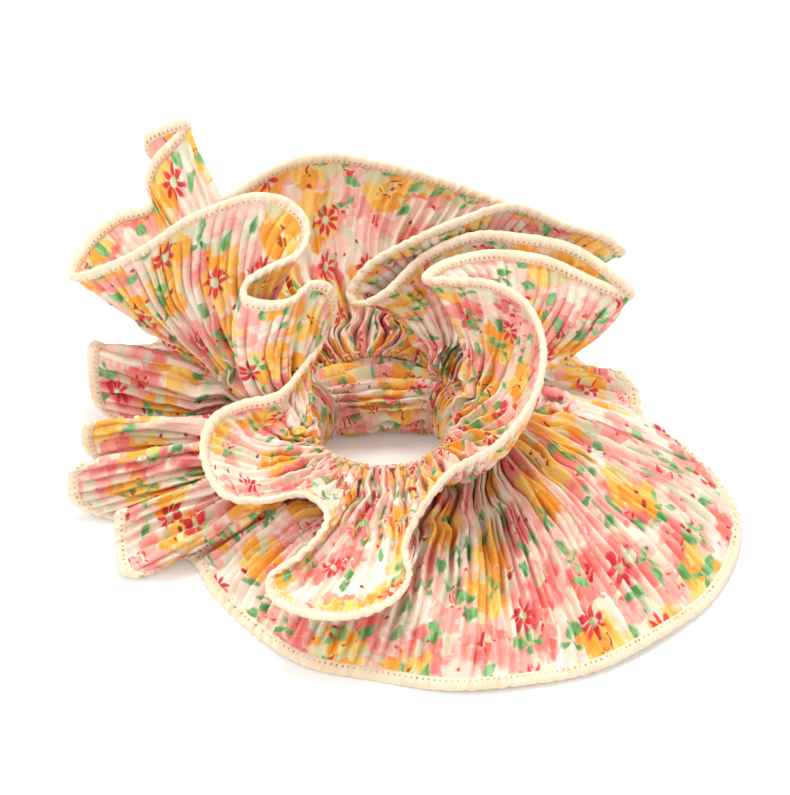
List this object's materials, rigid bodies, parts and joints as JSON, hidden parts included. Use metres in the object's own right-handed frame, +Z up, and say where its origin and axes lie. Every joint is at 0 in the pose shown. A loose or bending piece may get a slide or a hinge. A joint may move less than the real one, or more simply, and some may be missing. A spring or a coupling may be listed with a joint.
{
  "type": "scrunchie",
  "caption": "Oversized pleated scrunchie: an elastic loop in a gathered cloth casing with two free, overlocked ruffles that stand and lie in deep waves.",
  "frame": {"origin": "centre of the hair hole, at the mid-height of the casing", "axes": "+Z up along the hair hole's axis, +X to the right of the broad lower fan's front view, -Y towards that front"},
  "size_m": [0.1654, 0.1406, 0.0666],
  "materials": {
    "pleated_cloth": "crinkle-pleated woven polyester, printed with small brush-dab flowers",
    "overlock_thread": "soft bulked overlock thread, pale cream",
    "sewing_thread": "spun polyester sewing thread, off-white",
    "elastic_knit": "knitted elastic with covered rubber cores, off-white"
  },
  "bodies": {
    "root": {"elastic_band": "elastic_knit", "elastic_bar_tack": "sewing_thread", "casing": "pleated_cloth", "gather_stitches": "sewing_thread", "upper_ruffle": "pleated_cloth", "lower_ruffle": "pleated_cloth", "upper_overlock": "overlock_thread", "lower_overlock": "overlock_thread", "upper_join_seam": "overlock_thread", "lower_join_seam": "overlock_thread"}
  },
  "joints": []
}
